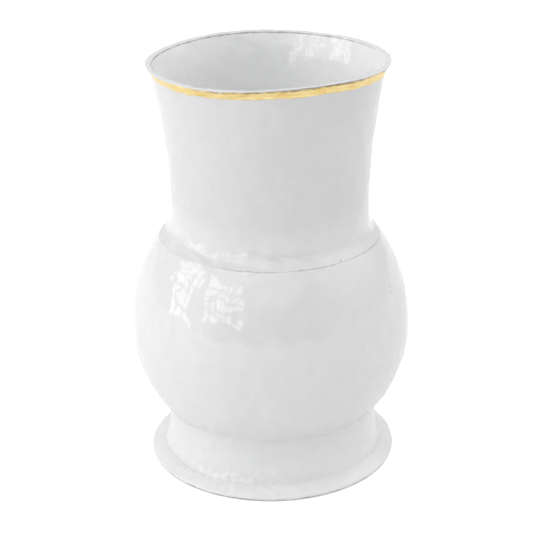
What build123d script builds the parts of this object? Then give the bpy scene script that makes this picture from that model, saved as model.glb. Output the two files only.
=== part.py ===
from build123d import *
import math
import os

# A footed, globe-bodied vase with a flared neck: three pieces of dark clay (foot, belly and neck)
# joined with slip, covered by three coats of white glaze and gilded round the lip.
# Sizes are in millimetres. The vase stands on z = 0 and is round about the Z axis. Each piece is
# one closed outline of radius against height, turned through a full circle.
# The form is given at the finished, glazed surface, and the clay lies one coat inside it: an inset
# is a depth below the finished surface, so 0 is the glaze and glaze_coat is the clay under it.

height = 247.6  # at the highest point of the uneven lip
glaze_coat = 0.5
slip_bed = 0.8

# Belly: a lower and an upper half ellipse that meet at its widest level.
belly_radius = 84.2
belly_centre_z = 84.9
belly_rise = 90.8
belly_drop = 81.6
belly_wall = 5.5
floor_under_z = 9.0
floor_top_z = 15.5

# Foot: a resting ring, a spreading flange, a tooled groove above it and a waisted stem.
rest_inner_radius = 67.6
rest_outer_radius = 73.4
bare_edge_radius = 74.5
bare_edge_z = 0.7  # the glaze was wiped off below this level
flange_radius = 75.0
flange_edge_z = 2.6
groove_radius = 67.0
groove_z = 6.7
groove_height = 2.0
groove_depth = 0.6
stem_foot_radius = 65.6
stem_top_radius = 65.7
stem_hollow = 2.4
recess_radius = 58.5
recess_bend_z = 12.0

# Shoulder: the neck's flared root is butted to the belly and stands a little proud of it.
seam_radius = 65.5
root_step = 0.3
throat_radius = 58.3
throat_z = 151.0
root_hollow = 1.9

# Neck and lip.
neck_wall = 4.2
neck_hollow = 2.6
bevel_radius = 67.0
bevel_drop = 5.0  # from the lip's edge down to where the neck turns out into it
lip_radius = 70.6
lip_width = 3.6
lip_fall = 0.6  # the top of the lip falls this much towards the mouth

# Gold band on the lip's outer bevel.
gold_coat = 0.15
gold_drop = 4.6


def moved(point, angle, distance):
    """The point moved by a distance at an angle in degrees, where 0 is outwards and 90 is up."""
    r, z = point
    return (r + distance * math.cos(math.radians(angle)), z + distance * math.sin(math.radians(angle)))


def bowed(start, end, hollow):
    """An arc whose middle leans by hollow to the left of the way from start to end."""
    (r0, z0), (r1, z1) = start, end
    share = hollow / math.hypot(r1 - r0, z1 - z0)
    middle = ((r0 + r1) / 2 - share * (z1 - z0), (z0 + z1) / 2 + share * (r1 - r0))
    return ThreePointArc(start, middle, end)


def under_belly(radius, inset):
    """The point of the belly's lower half at a radius."""
    share = math.sqrt(1 - (radius / (belly_radius - inset)) ** 2)
    return (radius, belly_centre_z - (belly_drop - inset) * share)


def floor_edge(z, inset):
    """The point of the belly's lower half at a height."""
    share = math.sqrt(1 - ((belly_centre_z - z) / (belly_drop - inset)) ** 2)
    return ((belly_radius - inset) * share, z)


def widest(inset):
    """The point at the belly's widest level."""
    return (belly_radius - inset, belly_centre_z)


def belly_arc(start, end, inset):
    """The belly's surface from one point to another within its upper or its lower half."""
    upper = start[1] + end[1] > 2 * belly_centre_z
    across = belly_radius - inset
    reach = (belly_rise if upper else belly_drop) - inset
    turn = [math.degrees(math.atan2((z - belly_centre_z) / reach, r / across)) for r, z in (start, end)]
    return EllipticalCenterArc((0, belly_centre_z), across, reach, turn[0], arc_size=turn[1] - turn[0])


seam_lift = belly_rise * math.sqrt(1 - (seam_radius / belly_radius) ** 2)
seam_angle = math.degrees(math.atan2(seam_lift / belly_rise**2, seam_radius / belly_radius**2))


def seam(inset):
    """The point where the joint between belly and neck, square to the wall, crosses a surface."""
    across, reach = belly_radius - inset, belly_rise - inset
    dr, dz = moved((0, 0), seam_angle, -1)
    a = (dr / across) ** 2 + (dz / reach) ** 2
    b = seam_radius * dr / across**2 + seam_lift * dz / reach**2
    c = (seam_radius / across) ** 2 + (seam_lift / reach) ** 2 - 1
    depth = (-b - math.sqrt(b * b - a * c)) / a
    return moved((seam_radius, belly_centre_z + seam_lift), seam_angle, -depth)


def foot_outside(inset):
    """From the bare edge of the resting ring up to the crease under the belly."""
    bare_edge = moved((bare_edge_radius, bare_edge_z), 0, -inset)
    flange_edge = moved((flange_radius, flange_edge_z), 20, -inset)
    flange_top = moved((groove_radius, groove_z), 50, -inset)
    stem_foot = moved((stem_foot_radius, groove_z + groove_height), 20, -inset)
    return [
        bowed(bare_edge, flange_edge, -0.1),
        Line(flange_edge, flange_top),
        bowed(flange_top, stem_foot, groove_depth),
        bowed(stem_foot, under_belly(stem_top_radius - inset, inset), stem_hollow),
    ]


def belly_outside(inset):
    """The two arcs between the crease above the foot and the seam, both towards the widest level."""
    return [
        belly_arc(under_belly(stem_top_radius - inset, inset), widest(inset), inset),
        belly_arc(seam(inset), widest(inset), inset),
    ]


def neck_outside(inset):
    """From the seam at the shoulder up to the outer edge of the lip."""
    root = moved(seam(inset), seam_angle, root_step)
    throat = (throat_radius - inset, throat_z)
    bevel = (bevel_radius - inset, height - bevel_drop)
    return [
        Line(seam(inset), root),
        bowed(root, throat, root_hollow),
        bowed(throat, bevel, neck_hollow),
        Line(bevel, lip_outer(inset)),
    ]


def lip_outer(inset):
    """The outer edge of the lip."""
    return moved((lip_radius, height), 50, -inset)


def lip_inner(inset):
    """The inner edge of the lip."""
    return moved((lip_radius - lip_width, height - lip_fall), 130, -inset)


def neck_inside(inset):
    """From the inner edge of the lip down to the inner end of the joint."""
    bevel = (bevel_radius - neck_wall + inset, height - bevel_drop - lip_fall)
    throat = (throat_radius - neck_wall + inset, throat_z)
    return [
        Line(lip_inner(inset), bevel),
        bowed(bevel, throat, -neck_hollow),
        bowed(throat, seam(belly_wall - inset), -root_hollow),
    ]


def belly_inside(inset):
    """From the inner end of the joint down to the middle of the floor."""
    depth = belly_wall - inset
    turn = floor_edge(floor_top_z - inset, depth)
    return [
        belly_arc(seam(depth), widest(depth), depth),
        belly_arc(widest(depth), turn, depth),
        Line(turn, (0, floor_top_z - inset)),
    ]


def recess_wall(inset):
    """From the inner edge of the resting ring up the foot's inner wall to the belly."""
    wall_radius = recess_radius + inset
    bend = (wall_radius, recess_bend_z)
    return [
        Line((rest_inner_radius - glaze_coat + inset, bare_edge_z), bend),
        Line(bend, under_belly(wall_radius, inset)),
    ]


def underside(inset):
    """From the foot's inner wall across the belly's underside to the axis."""
    turn = floor_edge(floor_under_z + inset, inset)
    return [
        belly_arc(under_belly(recess_radius + inset, inset), turn, inset),
        Line(turn, (0, turn[1])),
    ]


def strip(one_side, other_side):
    """The section between two runs of edges that go the same way, closed by lines at their ends."""
    ends = [Line(one_side[0] @ 0, other_side[0] @ 0)]
    if (one_side[-1] @ 1 - other_side[-1] @ 1).length > 1e-6:
        ends.append(Line(one_side[-1] @ 1, other_side[-1] @ 1))
    return make_face([*one_side, *other_side, *ends])


def foot_section():
    """The foot's clay and its bed of slip, up to the belly's clay."""
    outside = foot_outside(glaze_coat)
    inside = recess_wall(glaze_coat)
    resting = [
        Line(inside[0] @ 0, (rest_inner_radius, 0)),
        Line((rest_inner_radius, 0), (rest_outer_radius, 0)),
        bowed((rest_outer_radius, 0), tuple(outside[0] @ 0)[:2], -0.1),
    ]
    top = belly_arc(tuple(inside[-1] @ 1)[:2], tuple(outside[-1] @ 1)[:2], glaze_coat)
    return make_face([*outside, top, *inside, *resting])


def foot_bed():
    """A band one bed of slip deep under the belly's clay, wider than the foot's wall."""
    span = (recess_radius - slip_bed, stem_top_radius + slip_bed)
    depths = (glaze_coat, glaze_coat - slip_bed)
    return strip(*[[belly_arc(*[under_belly(r, depth) for r in span], depth)] for depth in depths])


def belly_section():
    """The belly's clay, from the joint at the shoulder to the middle of its floor."""
    turn = floor_edge(floor_under_z + glaze_coat, glaze_coat)
    outside = [
        belly_arc(seam(glaze_coat), widest(glaze_coat), glaze_coat),
        belly_arc(widest(glaze_coat), turn, glaze_coat),
        Line(turn, (0, turn[1])),
    ]
    return strip(outside, belly_inside(glaze_coat))


def neck_section():
    """The neck's clay and its bed of slip, from the joint at the shoulder to the lip."""
    joint = Line(seam(glaze_coat), seam(belly_wall - glaze_coat))
    lip = Line(lip_outer(glaze_coat), lip_inner(glaze_coat))
    return make_face([*neck_outside(glaze_coat), lip, *neck_inside(glaze_coat), joint])


def neck_bed():
    """A band one bed of slip deep above the joint, longer than the wall is thick."""
    ends = (moved(seam(0), seam_angle, belly_wall), moved(seam(0), seam_angle, -2 * belly_wall))
    return strip(*[[Line(*[moved(end, seam_angle + 90, lift) for end in ends])] for lift in (0, slip_bed)])


def outer_glaze_section():
    """The coat from the foot's edge up the outside and over the top of the lip."""
    sides = [
        [
            *foot_outside(inset),
            *belly_outside(inset),
            *neck_outside(inset),
            Line(lip_outer(inset), lip_inner(inset)),
        ]
        for inset in (0, glaze_coat)
    ]
    return strip(*sides)


def inner_glaze_section():
    """The coat from the inner edge of the lip down the inside and across the floor."""
    return strip(*[[*neck_inside(inset), *belly_inside(inset)] for inset in (0, glaze_coat)])


def recess_glaze_section():
    """The coat inside the foot and across the belly's underside."""
    return strip(*[[*recess_wall(inset), *underside(inset)] for inset in (0, glaze_coat)])


def gold_section():
    """The gilding on the bevel, from the lip's outer edge down."""
    bevel = neck_outside(0)[-1]
    share = gold_drop / bevel_drop
    inner = Line(bevel @ 1, bevel @ (1 - share))
    outward = Vector(*moved((0, 0), math.degrees(math.atan2(bevel_drop, lip_radius - bevel_radius)) - 90, 1))
    outer = Line(inner @ 0 + gold_coat * outward, inner @ 1 + gold_coat * outward)
    return strip([inner], [outer])


def turn_piece(name, section):
    """Turns a section through a full circle about Z and writes it as one node."""
    export_step(revolve(Plane.XZ * section, Axis.Z, 360), f"parts/{name}.step")


def main():
    os.makedirs("parts", exist_ok=True)
    foot = foot_section()
    neck = neck_section()
    turn_piece("foot", foot - foot_bed())
    turn_piece("foot_slip_joint", foot & foot_bed())
    turn_piece("belly", belly_section())
    turn_piece("shoulder_slip_joint", neck & neck_bed())
    turn_piece("neck", neck - neck_bed())
    turn_piece("outer_glaze", outer_glaze_section())
    turn_piece("inner_glaze", inner_glaze_section())
    turn_piece("recess_glaze", recess_glaze_section())
    turn_piece("gold_band", gold_section())


main()
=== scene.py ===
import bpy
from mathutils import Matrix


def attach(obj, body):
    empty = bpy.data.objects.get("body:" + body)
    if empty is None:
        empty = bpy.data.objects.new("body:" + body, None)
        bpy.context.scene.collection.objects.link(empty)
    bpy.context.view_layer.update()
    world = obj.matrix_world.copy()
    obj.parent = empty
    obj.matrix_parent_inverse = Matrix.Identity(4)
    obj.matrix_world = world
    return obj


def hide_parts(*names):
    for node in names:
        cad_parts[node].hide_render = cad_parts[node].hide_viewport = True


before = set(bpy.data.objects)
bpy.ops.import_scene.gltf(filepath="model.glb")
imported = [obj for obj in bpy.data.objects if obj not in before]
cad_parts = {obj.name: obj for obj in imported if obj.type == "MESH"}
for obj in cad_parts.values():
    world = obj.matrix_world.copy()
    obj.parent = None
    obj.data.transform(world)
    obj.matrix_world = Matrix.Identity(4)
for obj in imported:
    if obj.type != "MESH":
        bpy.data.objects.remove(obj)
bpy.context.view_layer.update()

import math

import bpy
import numpy as np
from mathutils import Matrix, Vector

# A thrown and glazed vase. Every piece is an outline of radius against height, in millimetres,
# turned about Z and then pulled slightly out of true by one warp that all the pieces share, so
# that clay, glaze and gilding stay in contact. Inset is a depth below the finished glaze surface.

MM = 0.001
GLAZE = 0.5
SLIP = 0.8

# Body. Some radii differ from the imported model's by up to 0.6 mm.
BELLY_RADIUS = 83.65
BELLY_CENTRE = 84.9
BELLY_RISE = 90.8
BELLY_DROP = 81.6
BELLY_WALL = 5.5
FLOOR_UNDER = 9.0
FLOOR_TOP = 15.5
BARE_EDGE = (74.9, 0.6)
FLANGE_EDGE = (75.4, 2.5)
FLANGE_TOP = (67.5, 6.3)
STEM_FOOT = (66.2, 8.0)
STEM_TOP_RADIUS = 65.7
STEM_HOLLOW = 2.4
REST_INNER = 67.6
REST_OUTER = 73.4
RECESS_RADIUS = 58.5
RECESS_BEND = 12.0
SEAM_RADIUS = 65.5
SEAM_ANGLE = 36.5  # the way the surface faces at the seam, in degrees above level
ROOT_STEP = 0.12  # the neck stands this far proud of the belly at the seam
THROAT = (58.6, 151.0)
ROOT_HOLLOW = 1.9
NECK_HOLLOW = 2.6
NECK_WALL = 4.2
BEVEL = (67.3, 241.3)
INNER_BEVEL = (62.3, 232.0)
LIP_RADIUS = 70.6
LIP_WIDTH = 3.5
LIP_FALL = 0.4
LIP_MEAN = 246.0  # the lip's mean height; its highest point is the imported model's height

AROUND = 320  # steps round the axis
OUTER_ROWS, INNER_ROWS, RECESS_ROWS = 240, 190, 70  # rows on the glaze's finished sides


# Outlines

def line(start, end, count=2):
    """Points from start to end, without the end."""
    share = np.linspace(0, 1, count, endpoint=False)[:, None]
    return np.array(start) * (1 - share) + np.array(end) * share


def bow(start, end, hollow, count=24):
    """A shallow arc from start to end whose middle leans by hollow to the left, without the end."""
    start, end = np.array(start), np.array(end)
    share = np.linspace(0, 1, count, endpoint=False)[:, None]
    along = (end - start) / np.linalg.norm(end - start)
    left = np.array([-along[1], along[0]])
    return start * (1 - share) + end * share + left * 4 * hollow * share * (1 - share)


def on_belly(start, end, inset, count=60):
    """Points of the belly's surface between two heights, without the end."""
    first, last = (
        math.asin((z - BELLY_CENTRE) / ((BELLY_RISE if z > BELLY_CENTRE else BELLY_DROP) - inset))
        for z in (start, end))
    angle = np.linspace(first, last, count, endpoint=False)
    reach = np.where(angle > 0, BELLY_RISE, BELLY_DROP) - inset
    return np.stack([(BELLY_RADIUS - inset) * np.cos(angle), BELLY_CENTRE + reach * np.sin(angle)], 1)


def belly_height(radius, inset, above=False):
    """Height of the belly's surface at a radius, on its lower or upper half."""
    reach = (BELLY_RISE if above else -BELLY_DROP) + (-inset if above else inset)
    return BELLY_CENTRE + reach * math.sqrt(1 - (radius / (BELLY_RADIUS - inset)) ** 2)


def belly_radius_at(z, inset):
    """Radius of the belly's surface at a height on its lower half."""
    return (BELLY_RADIUS - inset) * math.sqrt(1 - ((BELLY_CENTRE - z) / (BELLY_DROP - inset)) ** 2)


def moved(point, angle, distance):
    """The point moved by a distance at an angle in degrees, where 0 is outwards and 90 is up."""
    turn = math.radians(angle)
    return (point[0] + distance * math.cos(turn), point[1] + distance * math.sin(turn))


def seam(inset):
    """The point of a surface on the joint between belly and neck."""
    radius = SEAM_RADIUS - inset * math.cos(math.radians(SEAM_ANGLE))
    return (radius, belly_height(radius, inset, above=True))


def foot_outside(inset):
    """From the bare edge of the foot up to the crease under the belly."""
    flange_top = moved(FLANGE_TOP, 50, -inset)
    stem_foot = moved(STEM_FOOT, 20, -inset)
    crease = (STEM_TOP_RADIUS - inset, belly_height(STEM_TOP_RADIUS - inset, inset))
    return np.concatenate([
        bow(moved(BARE_EDGE, 0, -inset), moved(FLANGE_EDGE, 20, -inset), -0.1, 6),
        bow(moved(FLANGE_EDGE, 20, -inset), flange_top, -0.35, 12),
        bow(flange_top, stem_foot, 0.35, 8),
        bow(stem_foot, crease, STEM_HOLLOW, 30),
    ])


def belly_outside(inset):
    """From the crease above the foot up to the seam at the shoulder."""
    crease = belly_height(STEM_TOP_RADIUS - inset, inset)
    return on_belly(crease, seam(inset)[1], inset, 120)


def neck_outside(inset):
    """From the seam at the shoulder up to the outer edge of the lip."""
    root = moved(seam(inset), SEAM_ANGLE, ROOT_STEP)
    throat = (THROAT[0] - inset, THROAT[1])
    bevel = (BEVEL[0] - inset, BEVEL[1])
    lip = moved((LIP_RADIUS, LIP_MEAN), 50, -inset)
    return np.concatenate([
        bow(root, throat, ROOT_HOLLOW, 20),
        bow(throat, bevel, NECK_HOLLOW, 90),
        line(bevel, lip, 10),
    ])


def lip_inner(inset):
    """The inner edge of the lip."""
    return moved((LIP_RADIUS - LIP_WIDTH, LIP_MEAN - LIP_FALL), 130, -inset)


def lip_top(inset):
    """Across the top of the lip, from its outer edge to its inner edge."""
    return line(moved((LIP_RADIUS, LIP_MEAN), 50, -inset), lip_inner(inset), 8)


def inside(inset):
    """From the inner edge of the lip down to the middle of the floor."""
    depth = BELLY_WALL - inset
    bevel = (INNER_BEVEL[0] + inset, INNER_BEVEL[1])
    throat = (THROAT[0] - NECK_WALL + inset, THROAT[1])
    floor_z = FLOOR_TOP - inset
    return np.concatenate([
        bow(lip_inner(inset), bevel, -0.25, 16),
        bow(bevel, throat, -NECK_HOLLOW * 0.8, 80),
        bow(throat, seam(depth), -ROOT_HOLLOW, 14),
        on_belly(seam(depth)[1], floor_z, depth, 80),
        line((belly_radius_at(floor_z, depth), floor_z), (0.4, floor_z), 14),
    ])


def recess(inset):
    """From the inner edge of the resting ring up and across the underside to the axis."""
    wall = RECESS_RADIUS + inset
    under = FLOOR_UNDER + inset
    return np.concatenate([
        line((REST_INNER - GLAZE + inset, BARE_EDGE[1]), (wall, RECESS_BEND), 14),
        line((wall, RECESS_BEND), (wall, belly_height(wall, inset)), 12),
        on_belly(belly_height(wall, inset), under, inset, 24),
        line((belly_radius_at(under, inset), under), (0.4, under), 12),
    ])


def soften(points, reach, step=0.2):
    """The open outline with its corners rounded over about reach, in even steps."""
    lengths = np.concatenate([[0], np.cumsum(np.linalg.norm(np.diff(points, axis=0), axis=1))])
    even = np.linspace(0, lengths[-1], int(lengths[-1] / step) + 2)
    fine = np.stack([np.interp(even, lengths, points[:, axis]) for axis in (0, 1)], 1)
    half = int(3 * reach / step)
    weights = np.exp(-0.5 * (np.arange(-half, half + 1) * step / reach) ** 2)
    weights /= weights.sum()
    before = 2 * fine[0] - fine[half:0:-1]
    after = 2 * fine[-1] - fine[-2:-half - 2:-1]
    padded = np.concatenate([before, fine, after])
    return np.stack([np.convolve(padded[:, axis], weights, "valid") for axis in (0, 1)], 1)


def simplified(points, tolerance=0.04):
    """The open outline with as few points as stay within a tolerance of it."""
    kept, spans = [0, len(points) - 1], [(0, len(points) - 1)]
    while spans:
        low, high = spans.pop()
        if high - low < 2:
            continue
        chord = points[high] - points[low]
        offset = points[low + 1:high] - points[low]
        miss = np.abs(chord[0] * offset[:, 1] - chord[1] * offset[:, 0]) / (np.linalg.norm(chord) + 1e-9)
        worst = int(np.argmax(miss)) + low + 1
        if miss.max() > tolerance:
            kept.append(worst)
            spans += [(low, worst), (worst, high)]
    return points[sorted(kept)]


def pick(points, count, fine_spots=(), fine_width=3.0, gain=5.0):
    """count points along a dense outline, closer together near the distances in fine_spots."""
    lengths = np.concatenate([[0], np.cumsum(np.linalg.norm(np.diff(points, axis=0), axis=1))])
    density = np.ones_like(lengths)
    for spot in fine_spots:
        density += gain * np.exp(-0.5 * ((lengths - spot) / fine_width) ** 2)
    total = np.concatenate([[0], np.cumsum((density[1:] + density[:-1]) / 2 * np.diff(lengths))])
    places = np.interp(np.linspace(0, total[-1], count), total, lengths)
    return np.stack([np.interp(places, lengths, points[:, axis]) for axis in (0, 1)], 1), places


# Warp: how the real form departs from true

# (lobes round the lip, size in mm, angle of a crest in degrees; 270 faces the camera)
LIP_RISES = ((1, 0.56, 12), (2, 0.85, 106), (3, 0.25, 64), (4, 0.28, 21))
LIP_SPREADS = ((2, 0.34, 146), (3, 0.36, 38))
SWELL, SWELL_LENGTH = 0.16, 75.0  # the slow swell of the walls and its wavelength
LEVEL_BELOW = 25.0  # the swell fades out below this height, so that the foot stands level
AXIS_CALM = 30.0  # swell and lean fade out within this radius
SEAM_TILT = 0.3  # the seam is this much higher on the left
SEAM_SWAY = 0.25
SEAM_TILT_REACH = 14.0
NECK_LEAN = 0.4  # the neck stands this far to the right of the belly
LEAN_REACH = 20.0  # the height above the seam over which it moves there
DIMPLES = ((0.09, 24.0, 2), (0.085, 12.0, 3), (0.028, 6.5, 4))  # (size, wavelength, seed)
# (size, wavelength, seed, height, spread of heights)
SEAM_WRINKLES = (0.28, 4.2, 5, 3.0, 5.0)  # height above the seam
FOOT_WRINKLES = (0.28, 5.2, 6, 8.0, 6.0)  # height above the table
WORKED_SIDE = np.array([-0.42, -0.91])  # the front left
MARK_LIMIT = 0.30  # hand marks never reach this, so they stay in the thickness of the glaze


def lobes(angle, waves):
    """The sum of waves round the axis."""
    return sum(size * np.cos(count * (angle - math.radians(crest))) for count, size, crest in waves)


def ripple(points, wavelength, seed, waves=18):
    """A smooth random field over space, about 1 in size, with its bumps about a wavelength apart."""
    draw = np.random.default_rng(seed)
    directions = draw.normal(size=(waves, 3))
    directions *= 2 * math.pi / wavelength / np.linalg.norm(directions, axis=1)[:, None]
    phases = draw.uniform(0, 2 * math.pi, waves)
    return math.sqrt(2 / waves) * np.cos(points @ directions.T + phases).sum(-1)


def warped(radius, height, angle):
    """Radius and height after the slow departures from true, which every piece shares."""
    space = np.stack([radius * np.cos(angle), radius * np.sin(angle), height], -1)
    up_neck = np.clip((height - THROAT[1]) / (LIP_MEAN - THROAT[1]), 0, 1) ** 2
    near_seam = np.exp(-((height - seam(0)[1]) / SEAM_TILT_REACH) ** 2)
    off_table = np.clip(height / LEVEL_BELOW, 0, 1)
    swell = SWELL * ripple(space, SWELL_LENGTH, 1) * off_table * (1 - up_neck)
    lean = NECK_LEAN * np.clip((height - seam(0)[1]) / LEAN_REACH, 0, 1) * np.cos(angle)
    off_axis = np.clip(radius / AXIS_CALM, 0, 1)
    radius_out = radius + up_neck * lobes(angle, LIP_SPREADS) + (swell + lean) * off_axis
    sway = -SEAM_TILT * np.cos(angle) + SEAM_SWAY * np.cos(3 * angle + 1)
    height_out = height + up_neck * lobes(angle, LIP_RISES) + near_seam * sway
    return radius_out, height_out


def wrinkles(space, height, size, length, seed, centre, spread):
    """Wrinkles about a wavelength apart, in a belt round one height."""
    return size * ripple(space, length, seed) * np.exp(-((height - centre) / spread) ** 2)


def hand_marks(space):
    """Undulation of the glazed surface, in mm, that breaks up what it reflects."""
    dimples = sum(size * ripple(space, length, seed) for size, length, seed in DIMPLES)
    # shallow wrinkles where the neck and the foot were luted on, most of them at the front left
    out = space[..., :2] @ WORKED_SIDE / (np.linalg.norm(space[..., :2], axis=-1) + 1e-9)
    worked = np.clip((out - 0.55) / 0.35, 0.12, 1.0)
    slanted = space * (0.30, 0.30, 1.0) + space[..., :1] * (0, 0, 0.10)
    at_seam = wrinkles(slanted, space[..., 2] - seam(0)[1], *SEAM_WRINKLES) * worked
    at_foot = wrinkles(space, space[..., 2], *FOOT_WRINKLES) * worked
    return MARK_LIMIT * np.tanh((dimples + (at_seam + at_foot)) / MARK_LIMIT)


# Mesh

def turned(name, node, radius, height, tilt, shown, run):
    """A closed outline turned about Z, warped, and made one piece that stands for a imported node.

    radius and height are in mm, one row per point of the outline. tilt is the surface's normal
    there, shown is how much of the hand marks it takes, and run is kept for the materials."""
    angle = np.linspace(0, 2 * math.pi, AROUND, endpoint=False)[None, :]
    radius, height = np.broadcast_arrays(radius, height, angle)[:2]
    space = np.stack([radius * np.cos(angle), radius * np.sin(angle), height], -1)
    lift = shown[:, None] * hand_marks(space)
    on_axis = radius[:, 0] < 1e-6
    out_r, out_z = warped(radius, height, angle)
    out_r = np.where(on_axis[:, None], 0, out_r + lift * tilt[:, :1])
    out_z = out_z + lift * tilt[:, 1:]
    points = np.stack([out_r * np.cos(angle), out_r * np.sin(angle), out_z], -1) * MM

    first, vertices, runs = [], [], []
    for row, single in enumerate(on_axis):
        first.append(len(vertices))
        ring = points[row, :1] if single else points[row]
        vertices.extend(ring.tolist())
        runs.extend([run[row]] * len(ring))
    faces = []
    for row, single in enumerate(on_axis):
        after = (row + 1) % len(on_axis)
        for step in range(AROUND):
            turn = (step + 1) % AROUND
            a, b = first[row] + step, first[row] + turn
            c, d = first[after] + turn, first[after] + step
            if single and on_axis[after]:
                break
            elif single:
                faces.append((first[row], c, d))
            elif on_axis[after]:
                faces.append((a, b, first[after]))
            else:
                faces.append((a, b, c, d))
    mesh = bpy.data.meshes.new(name)
    mesh.from_pydata(vertices, [], faces)
    kept = mesh.attributes.new("run", "FLOAT", "POINT")
    kept.data.foreach_set("value", np.array(runs, dtype=np.float32))
    mesh.shade_smooth()
    piece = bpy.data.objects.new(name, mesh)
    bpy.context.scene.collection.objects.link(piece)
    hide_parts(node)
    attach(piece, "root")
    return piece


def normals(outline):
    """The normal at each point, to the right of the way along the outline."""
    slope = np.gradient(outline, axis=0)
    slope /= np.linalg.norm(slope, axis=1)[:, None] + 1e-9
    return np.stack([slope[:, 1], -slope[:, 0]], 1)


def coat(name, node, finished, hidden, run):
    """A shell with its finished side and its hidden side, given in the same direction."""
    outline = np.concatenate([finished, hidden[::-1]])
    tilt = np.concatenate([normals(finished), normals(hidden)[::-1]])
    shown = np.concatenate([np.ones(len(finished)), np.zeros(len(hidden))])
    shown[[0, len(finished) - 1]] = 0
    runs = np.concatenate([run, np.linspace(run[-1], run[0], len(hidden))])
    return turned(name, node, outline[:, :1], outline[:, 1:], tilt, shown, runs)


def lump(name, node, outline):
    """A clay or slip piece with no hand marks of its own."""
    still = np.zeros(len(outline))
    return turned(name, node, outline[:, :1], outline[:, 1:], np.zeros_like(outline), still, still)


# Materials

def adder(tree):
    """A function that adds a node to a shader tree, with its inputs set or linked."""
    def add(kind, inputs=None, **settings):
        node = tree.nodes.new("ShaderNode" + kind)
        for key, value in settings.items():
            setattr(node, key, value)
        for key, value in (inputs or {}).items():
            if hasattr(value, "is_linked"):
                tree.links.new(value, node.inputs[key])
            else:
                node.inputs[key].default_value = value
        return node

    return add


def of_type(tree, kind):
    """The first node of a type in a shader tree."""
    return next(node for node in tree.nodes if node.type == kind)


def new_material(name):
    """A material with its Principled shader and a way to add and link nodes."""
    material = bpy.data.materials.new(name)
    material.use_nodes = True
    tree = material.node_tree
    shader = of_type(tree, "BSDF_PRINCIPLED")

    def link(output, socket):
        tree.links.new(output, shader.inputs[socket])

    return material, shader, adder(tree), link


def shade(colour, light=1.0):
    """A colour made lighter or darker, with its alpha."""
    return (*(part * light for part in colour), 1)


def ramp(add, value, low, high, to_low=0.0, to_high=1.0):
    """value, eased from to_low at low to to_high at high."""
    node = add("MapRange", {"Value": value, "From Min": low, "From Max": high, "To Min": to_low,
                            "To Max": to_high}, interpolation_type="SMOOTHSTEP")
    return node.outputs["Result"]


def maths(add, operation, first, second):
    """One sum of two values or sockets."""
    return add("Math", {0: first, 1: second}, operation=operation).outputs[0]


def noise(add, place, wavelength, detail=2.0, roughness=0.5, distortion=0.0):
    """Noise whose features are about a wavelength in millimetres across."""
    node = add("TexNoise", {"Vector": place, "Scale": 1 / (wavelength * MM), "Detail": detail,
                            "Roughness": roughness, "Distortion": distortion})
    return node.outputs["Fac"]


def facing(add, place, side, low, high):
    """0 to 1 as the place round the axis turns towards a side; always 1 without a side."""
    if side is None:
        return 1.0
    flat = add("VectorMath", {0: place, 1: (1, 1, 0)}, operation="MULTIPLY").outputs["Vector"]
    flat = add("VectorMath", {0: flat}, operation="NORMALIZE").outputs["Vector"]
    side = Vector((*side, 0)).normalized()
    towards = add("VectorMath", {0: flat, 1: side}, operation="DOT_PRODUCT").outputs["Value"]
    return ramp(add, towards, low, high)


# The glaze's tones, the clay's colour where it shows through, and painted light and shade by
# height: the glaze is painted lighter towards the foot and painted darker up the neck.
MILK = (0.76, 0.765, 0.77)
MILK_PALE = (0.79, 0.79, 0.79)
MILK_MOTTLED = (0.735, 0.74, 0.745)
CLAY_THROUGH_GLAZE = (0.16, 0.145, 0.135, 1)
FOOT_PAINTED_LIGHT, FOOT_PAINTED_LIGHT_REACH = 1.08, 50.0
NECK_PAINTED_SHADE, NECK_PAINTED_SHADE_FROM, NECK_PAINTED_SHADE_TO = 0.92, 150.0, 170.0


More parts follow.
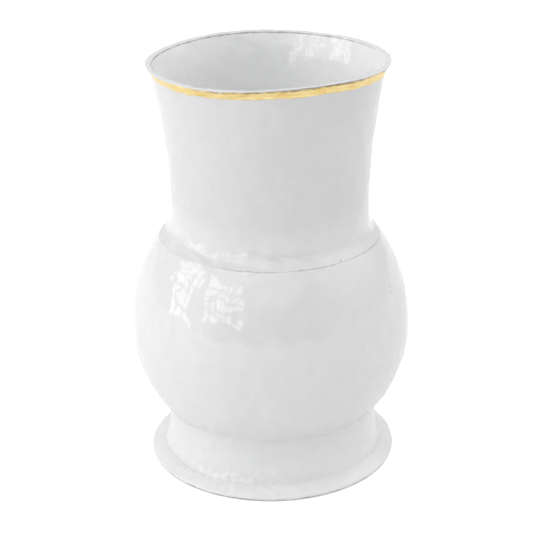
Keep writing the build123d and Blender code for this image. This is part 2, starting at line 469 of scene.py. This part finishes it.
def glaze_material(name, thin_lines=(), spots=(), milk_and_painted_light=1.0):
    """White glaze over dark clay, its tone scaled up or down by one factor; a factor above 1 is painted
    light. thin_lines are (run, half width, strength) where the glaze is thin enough for the clay to
    show, and may go on with (side, from, to) to keep to one side. spots are pinholes (point, radius)."""
    material, shader, add, link = new_material(name)
    place = add("TexCoord").outputs["Object"]
    run = add("Attribute", attribute_name="run").outputs["Fac"]
    cloud = noise(add, place, 38, 3)
    mottle = noise(add, place, 7, 3, 0.6, 0.4)
    speck = noise(add, place, 1.6, 2, 0.6)
    tone = add("MixRGB", {"Fac": ramp(add, cloud, 0.3, 0.7), "Color1": shade(MILK, milk_and_painted_light),
                          "Color2": shade(MILK_PALE, milk_and_painted_light)})
    tone = add("MixRGB", {"Fac": ramp(add, mottle, 0.35, 0.7, 0, 0.5), "Color1": tone.outputs[0],
                          "Color2": shade(MILK_MOTTLED, milk_and_painted_light)})
    height = add("SeparateXYZ", {0: place}).outputs["Z"]
    # painted light and shade by height: the tone is made lighter towards the foot and darker up the neck
    depth = maths(add, "MULTIPLY", ramp(add, height, 0, FOOT_PAINTED_LIGHT_REACH * MM, FOOT_PAINTED_LIGHT, 1.0),
                  ramp(add, height, NECK_PAINTED_SHADE_FROM * MM, NECK_PAINTED_SHADE_TO * MM, 1.0, NECK_PAINTED_SHADE))
    tone = add("MixRGB", {"Fac": 1.0, "Color1": tone.outputs[0], "Color2": depth},
               blend_type="MULTIPLY")
    clay = 0.0
    for at, half_width, strength, *side in thin_lines:
        off = maths(add, "SUBTRACT", run, at)
        off = add("Math", {0: off}, operation="ABSOLUTE").outputs[0]
        ragged = ramp(add, noise(add, place, 4.5, 3, 0.6), 0.3, 0.7, 0.35, 1.3)
        width = maths(add, "MULTIPLY", ragged, half_width)
        line_mask = maths(add, "SUBTRACT", 1.0, maths(add, "DIVIDE", off, width))
        line_mask = maths(add, "MULTIPLY", ramp(add, line_mask, 0, 0.6), strength)
        line_mask = maths(add, "MULTIPLY", line_mask, facing(add, place, *(side or (None, 0, 1))))
        clay = maths(add, "MAXIMUM", line_mask, clay)
    for point, radius in spots:
        centre = [part * MM for part in point]
        gap = add("VectorMath", {0: place, 1: centre}, operation="DISTANCE").outputs["Value"]
        clay = maths(add, "MAXIMUM", ramp(add, gap, 0, radius * MM, 0.85, 0), clay)
    tone = add("MixRGB", {"Fac": clay, "Color1": tone.outputs[0], "Color2": CLAY_THROUGH_GLAZE})
    link(tone.outputs[0], "Base Color")
    link(ramp(add, mottle, 0.3, 0.7, 0.03, 0.08), "Roughness")
    shader.inputs["IOR"].default_value = 1.52
    pores = maths(add, "ADD", maths(add, "MULTIPLY", noise(add, place, 4.2, 2), 2.2), speck)
    bump = add("Bump", {"Height": pores, "Strength": 1.0, "Distance": 0.02 * MM})
    link(bump.outputs["Normal"], "Normal")
    return material


def clay_material(name, light=1.0):
    """Bare dark clay, fine grained, with a few paler specks."""
    material, shader, add, link = new_material(name)
    place = add("TexCoord").outputs["Object"]
    grain = noise(add, place, 0.9, 4, 0.65)
    patch = noise(add, place, 14, 3)
    tone = add("MixRGB", {"Fac": ramp(add, patch, 0.3, 0.7),
                          "Color1": shade((0.085, 0.070, 0.060), light),
                          "Color2": shade((0.17, 0.145, 0.125), light)})
    tone = add("MixRGB", {"Fac": ramp(add, grain, 0.62, 0.72, 0, 0.6), "Color1": tone.outputs[0],
                          "Color2": (0.36, 0.32, 0.28, 1)})
    link(tone.outputs[0], "Base Color")
    link(ramp(add, grain, 0.3, 0.7, 0.75, 0.95), "Roughness")
    bump = add("Bump", {"Height": grain, "Strength": 0.8, "Distance": 0.08 * MM})
    link(bump.outputs["Normal"], "Normal")
    return material


def gold_material(name):
    """Brushed-on gilding: bright where it is thick, browner where it is thin or worn."""
    material, shader, add, link = new_material(name)
    place = add("TexCoord").outputs["Object"]
    run = add("Attribute", attribute_name="run").outputs["Fac"]
    thin = noise(add, place, 11, 4, 0.6, 0.5)
    stretched = add("Mapping", {"Vector": place, "Scale": (1, 1, 5)}).outputs[0]
    streak = noise(add, stretched, 6, 4, 0.6)
    tone = add("MixRGB", {"Fac": ramp(add, streak, 0.3, 0.7), "Color1": (0.80, 0.60, 0.22, 1),
                          "Color2": (0.95, 0.79, 0.42, 1)})
    tone = add("MixRGB", {"Fac": ramp(add, thin, 0.5, 0.72, 0, 0.6), "Color1": tone.outputs[0],
                          "Color2": (0.78, 0.52, 0.16, 1)})
    # worn most at its upper edge, at the front
    patchy = ramp(add, noise(add, place, 3.5, 3), 0.35, 0.65, 0.3, 1)
    worn = maths(add, "MULTIPLY", ramp(add, run, 0.78, 0.92), patchy)
    worn = maths(add, "MULTIPLY", worn, facing(add, place, (0.15, -1), 0.55, 0.95))
    tone = add("MixRGB", {"Fac": worn, "Color1": tone.outputs[0], "Color2": (0.25, 0.17, 0.07, 1)})
    link(tone.outputs[0], "Base Color")
    shader.inputs["Metallic"].default_value = 1.0
    link(ramp(add, streak, 0.3, 0.7, 0.28, 0.46), "Roughness")
    bump = add("Bump", {"Height": streak, "Strength": 0.7, "Distance": 0.05 * MM})
    link(bump.outputs["Normal"], "Normal")
    return material


# Pieces

# The glaze rounds its edges a little, and the clay under it is rounded more.
outside_way = [np.concatenate([foot_outside(inset), belly_outside(inset), neck_outside(inset),
                               lip_top(inset), [lip_inner(inset)]]) for inset in (0, GLAZE)]
outside_glazed = soften(outside_way[0], 0.65)
outside_clay = soften(outside_way[1], 0.8)
inside_glazed = soften(np.concatenate([inside(0), [(0, FLOOR_TOP)]]), 0.8)
inside_clay = soften(np.concatenate([inside(GLAZE), [(0, FLOOR_TOP - GLAZE)]]), 1.0)
recess_glazed = soften(np.concatenate([recess(0), [(0, FLOOR_UNDER)]]), 1.0)
recess_clay = soften(np.concatenate([recess(GLAZE), [(0, FLOOR_UNDER + GLAZE)]]), 1.2)
for way in (inside_glazed, inside_clay, recess_glazed, recess_clay):
    way[-1, 0] = 0


def nearest(way, point):
    """The index of the point of an outline nearest to a point."""
    return int(np.argmin(np.linalg.norm(way - np.array(point), axis=1)))


def distance_to(way, point):
    """How far along an outline the place nearest to a point is."""
    steps = np.linalg.norm(np.diff(way, axis=0), axis=1)
    return float(steps[:nearest(way, point)].sum())


foot_edge_run = distance_to(outside_glazed, BARE_EDGE)
flange_run = distance_to(outside_glazed, FLANGE_EDGE)
groove_run = distance_to(outside_glazed, FLANGE_TOP) + 0.6
crease_run = distance_to(outside_glazed, (STEM_TOP_RADIUS, belly_height(STEM_TOP_RADIUS, 0)))
seam_run = distance_to(outside_glazed, seam(0))
lip_run = distance_to(outside_glazed, (LIP_RADIUS, LIP_MEAN))
lip_end_run = distance_to(outside_glazed, lip_inner(0))

# The rows are closer together at the edges, the creases and the wrinkles over the seam.
fine_spots = (flange_run, groove_run, crease_run, seam_run, seam_run + 3, seam_run + 7,
              lip_run, lip_end_run)
finished, places = pick(outside_glazed, OUTER_ROWS, fine_spots)
hidden, hidden_in, hidden_under = (simplified(way) for way in (outside_clay, inside_clay, recess_clay))
outer_glaze = coat("outer_glaze_coat", "outer_glaze", finished, hidden, places)
finished, places = pick(inside_glazed, INNER_ROWS, (0, 8))
inner_glaze = coat("inner_glaze_coat", "inner_glaze", finished, hidden_in, places)
finished, places = pick(recess_glazed, RECESS_ROWS, (0,))
recess_glaze = coat("recess_glaze_coat", "recess_glaze", finished[::-1], hidden_under[::-1],
                    places[::-1])

# Clay, cut from the same runs
stem_top, recess_wall = STEM_TOP_RADIUS - GLAZE, RECESS_RADIUS + GLAZE
crease_at = nearest(outside_clay, (stem_top, belly_height(stem_top, GLAZE)))
seam_at = nearest(outside_clay, seam(GLAZE))
joint_at = nearest(inside_clay, seam(BELLY_WALL - GLAZE))
wall_at = nearest(recess_clay, (recess_wall, belly_height(recess_wall, GLAZE)))
under_belly, foot_bed = (
    on_belly(belly_height(recess_wall, inset), belly_height(stem_top, inset), inset, 8)
    for inset in (GLAZE, GLAZE - SLIP))
bed_in = nearest(recess_clay, foot_bed[0])
bed_out = nearest(outside_clay[:crease_at + 1], foot_bed[-1])
rest = np.array([(REST_INNER, 0), ((REST_INNER + REST_OUTER) / 2, 0), (REST_OUTER, 0)])

foot = lump("foot_clay", "foot", np.concatenate([
    rest, simplified(outside_clay[:bed_out + 1]), foot_bed[-2:0:-1],
    simplified(recess_clay[bed_in::-1])]))
foot_joint = lump("foot_slip", "foot_slip_joint", np.concatenate([
    foot_bed, simplified(outside_clay[bed_out:crease_at + 1]), under_belly[::-1]]))
belly = lump("belly_clay", "belly", np.concatenate([
    under_belly, simplified(outside_clay[crease_at:seam_at + 1]), simplified(inside_clay[joint_at:]),
    simplified(recess_clay[:wall_at:-1])]))
bed_lift = np.array(moved((0, 0), SEAM_ANGLE + 90, SLIP))
bed_top = nearest(outside_clay, np.array(seam(GLAZE)) + bed_lift)
bed_low = nearest(inside_clay[:joint_at + 1], np.array(seam(BELLY_WALL - GLAZE)) + bed_lift)
shoulder_joint = lump("shoulder_slip", "shoulder_slip_joint", np.concatenate([
    simplified(outside_clay[seam_at:bed_top + 1]), simplified(inside_clay[bed_low:joint_at + 1])]))
neck = lump("neck_clay", "neck", np.concatenate([
    simplified(outside_clay[bed_top:]), simplified(inside_clay[:bed_low + 1])[1:]]))

# Gilding: a thin band on the bevel with brushed, slightly wandering edges
GOLD, GOLD_SUNK = 0.12, 0.08  # thickness over the glaze, and depth of its hidden side
GOLD_TOP, GOLD_BOTTOM = 0.95, 6.1  # distances down from the lip
GOLD_UNEVEN, GOLD_WIDEST = 0.7, 300  # the band is wider by this much, towards this angle
FACE_ROWS, BACK_ROWS = 14, 6
angle = np.linspace(0, 2 * math.pi, AROUND, endpoint=False)
ring = np.stack([np.cos(angle), np.sin(angle), 0 * angle], -1) * LIP_RADIUS
upper = lip_run - GOLD_TOP + 0.14 * ripple(ring, 30, 11) + 0.06 * ripple(ring, 5, 12)
lower = lip_run - GOLD_BOTTOM - GOLD_UNEVEN * np.cos(angle - math.radians(GOLD_WIDEST))
lower = lower + 0.20 * ripple(ring, 34, 13) + 0.12 * ripple(ring, 7, 14)
share = np.concatenate([np.linspace(0, 1, FACE_ROWS), np.linspace(1, 0, BACK_ROWS)])[:, None]
raised = np.concatenate([GOLD * (1 - np.linspace(-1, 1, FACE_ROWS) ** 6),
                         np.full(BACK_ROWS, -GOLD_SUNK)])[:, None]
steps = np.concatenate([[0], np.cumsum(np.linalg.norm(np.diff(outside_glazed, axis=0), axis=1))])
where = upper * share + lower * (1 - share)
slopes = normals(outside_glazed)
on_r, on_z = (np.interp(where, steps, outside_glazed[:, axis]) for axis in (0, 1))
tilt_r, tilt_z = (np.interp(where, steps, slopes[:, axis]) for axis in (0, 1))
gold_band = turned("gold_lip_band", "gold_band", on_r + raised * tilt_r,
                   on_z + raised * tilt_z, np.stack([tilt_r.mean(1), tilt_z.mean(1)], 1),
                   np.ones(len(share)), share[:, 0])


def on_glaze(turn, height):
    """The point of the outer glaze at an angle in degrees and a height."""
    body = outside_glazed[:nearest(outside_glazed, (LIP_RADIUS, LIP_MEAN))]
    radius = np.interp(height, body[:, 1], body[:, 0])
    turn = math.radians(turn)
    radius, height = warped(np.array(radius), np.array(float(height)), np.array(turn))
    return (float(radius) * math.cos(turn), float(radius) * math.sin(turn), float(height))


# (angle round the axis in degrees, height, size)
PINHOLES = (
    (-52, 142, 0.8), (-27, 119, 0.85), (-28, 116, 0.75), (-27, 121, 0.6), (-118, 125, 0.6),
    (-141, 117, 0.5), (-139, 118, 0.45), (-62, 78, 0.35), (-101, 210, 0.35), (35, 95, 0.5),
    (112, 130, 0.6), (160, 60, 0.5), (80, 205, 0.4))
FRONT_RIGHT, BACK_LEFT = (0.87, -0.5), (-0.45, 0.9)
pinholes = [(on_glaze(turn, height), size) for turn, height, size in PINHOLES]
outer_white = glaze_material("outer_glaze_white", (
    (foot_edge_run + 0.2, 0.9, 0.6),
    (groove_run, 1.0, 0.07),
    (seam_run, 0.4, 0.12),
    (seam_run, 0.45, 0.42, (0.45, -0.9), 0.3, 0.8),
    (lip_run - 0.6, 0.6, 0.75, FRONT_RIGHT, 0.35, 0.8),
), pinholes, milk_and_painted_light=0.905)
inner_lines = ((0.9, 0.6, 0.6, BACK_LEFT, -0.4, 0.5),)
# The inner coat is the same glaze painted about 1.3 times lighter than the outer coat: painted light
# inside the neck and body.
inner_white = glaze_material("inner_glaze_white", inner_lines, milk_and_painted_light=1.17)
recess_white = glaze_material("recess_glaze_white", ((0.0, 1.4, 0.8),))
bare = clay_material("dark_clay_bare")
slip = clay_material("slip_fired", 1.25)
gilding = gold_material("gilding")
for piece, material in (
        (outer_glaze, outer_white), (inner_glaze, inner_white), (recess_glaze, recess_white),
        (foot, bare), (belly, bare), (neck, bare), (foot_joint, slip), (shoulder_joint, slip),
        (gold_band, gilding)):
    piece.data.materials.append(material)


# Stage, light and camera

def stage_floor():
    """A plain pale floor that the camera sees as near white, with a faint shadow at the foot."""
    reach = 12.0
    mesh = bpy.data.meshes.new("studio_floor")
    mesh.from_pydata([(-reach, -reach, 0), (reach, -reach, 0), (reach, reach, 0), (-reach, reach, 0)],
                     [], [(0, 1, 2, 3)])
    floor = bpy.data.objects.new("studio_floor", mesh)
    bpy.context.scene.collection.objects.link(floor)
    material, shader, add, link = new_material("floor_white")
    shader.inputs["Base Color"].default_value = shade((0.92, 0.92, 0.92))
    shader.inputs["Roughness"].default_value = 0.9
    shader.inputs["Specular IOR Level"].default_value = 0.0
    shader.inputs["Emission Color"].default_value = (1, 1, 1, 1)
    seen = add("LightPath").outputs["Is Camera Ray"]
    link(maths(add, "ADD", maths(add, "MULTIPLY", seen, FLOOR_LIFT), FLOOR_GLOW), "Emission Strength")
    mesh.materials.append(material)


def panel(name, centre, target, width, height, radiance):
    """A soft rectangular light that faces a point."""
    light = bpy.data.lights.new(name, "AREA")
    light.shape = "RECTANGLE"
    light.size, light.size_y = width, height
    light.energy = radiance * math.pi * width * height
    lamp = bpy.data.objects.new(name, light)
    lamp.location = centre
    aim = [t - c for t, c in zip(target, centre)]
    lamp.rotation_euler = Vector(aim).to_track_quat("-Z", "Y").to_euler()
    lamp.visible_camera = False
    bpy.context.scene.collection.objects.link(lamp)


def window(name, azimuth, elevation, columns, rows, pane, gap, radiance):
    """A window of panes. It stands at azimuth degrees from -Y towards -X and at elevation degrees
    above mid-height, as seen from the vase. pane and gap are widths and heights."""
    turn, rise = math.radians(azimuth), math.radians(elevation)
    inwards = Vector((-math.sin(turn), -math.cos(turn), 0))
    centre = inwards * WINDOW_DISTANCE * math.cos(rise)
    centre = centre + Vector((0, 0, MID_HEIGHT + WINDOW_DISTANCE * math.sin(rise)))
    across = Vector((math.cos(turn), -math.sin(turn), 0))
    for column in range(columns):
        for row in range(rows):
            place = centre + across * (column - (columns - 1) / 2) * (pane[0] + gap[0])
            place = place + Vector((0, 0, (row - (rows - 1) / 2) * (pane[1] + gap[1])))
            panel(f"{name}_{column}_{row}", place, place - inwards, pane[0], pane[1], radiance)


def studio_sky():
    """Pale surroundings lit from all round, to the strengths in SKY; the camera sees plain white."""
    world = bpy.data.worlds.new("studio")
    bpy.context.scene.world = world
    world.use_nodes = True
    tree = world.node_tree
    add = adder(tree)
    way = add("TexCoord").outputs["Generated"]
    total = SKY_ALL_ROUND
    for axis, low, high, power in SKY:
        axis = Vector(axis).normalized()
        towards = add("VectorMath", {0: way, 1: axis}, operation="DOT_PRODUCT").outputs["Value"]
        total = maths(add, "ADD", ramp(add, towards, low, high, 0, power), total)
    lit = of_type(tree, "BACKGROUND")
    lit.inputs["Color"].default_value = (1, 1, 1, 1)
    tree.links.new(maths(add, "MAXIMUM", total, 0.0), lit.inputs["Strength"])
    plain = add("Background", {"Color": (1, 1, 1, 1), "Strength": 1.0})
    seen = add("LightPath").outputs["Is Camera Ray"]
    mix = add("MixShader", {0: seen, 1: lit.outputs[0], 2: plain.outputs[0]})
    tree.links.new(mix.outputs[0], of_type(tree, "OUTPUT_WORLD").inputs["Surface"])


SKY_ALL_ROUND = 0.735
# (towards, cosine where it starts, cosine where it is full, strength added)
SKY = (
    ((0, 0, 1), 0.70, 1.0, -0.15),  # darker overhead
    ((0, -1, 0.1), 0.50, 1.0, -0.75),  # darker low down on the camera's side
    ((-0.8, -0.45, 0.75), 0.70, 1.0, 0.6),  # brighter high on the left,
    ((0.8, 0.1, 0.75), 0.75, 1.0, 0.95),  # high on the right,
    ((0, -0.6, 0.8), 0.80, 1.0, 0.85),  # high on the camera's side
    ((0, 0.8, 0.7), 0.70, 1.0, 0.3),  # and high behind
)
FLOOR_LIFT = 0.5  # glow of the floor that only the camera sees
FLOOR_GLOW = 0.04  # glow of the floor that lights the vase
WINDOW_DISTANCE = 2.4
MID_HEIGHT = 0.12
stage_floor()
studio_sky()
window("near_window", 42, 23, columns=4, rows=4, pane=(0.23, 0.23), gap=(0.11, 0.11), radiance=2.9)
window("far_window", 84, 19, columns=3, rows=5, pane=(0.26, 0.28), gap=(0.09, 0.09), radiance=2.8)

SENSOR, LENS = 36, 100.33  # mm
PITCH, ROLL = 0.387, -0.014  # radians: down from level, and about the line of sight
camera_data = bpy.data.cameras.new("camera")
camera_data.sensor_width = SENSOR
camera_data.lens = LENS
camera = bpy.data.objects.new("camera", camera_data)
camera.location = (-0.00232, -0.8274, 0.4554)
camera.rotation_mode = "XYZ"
aim = Matrix.Rotation(math.pi / 2 - PITCH, 3, "X") @ Matrix.Rotation(ROLL, 3, "Z")
camera.rotation_euler = aim.to_euler()
bpy.context.scene.collection.objects.link(camera)
bpy.context.scene.camera = camera
bpy.context.scene.view_settings.view_transform = "Standard"
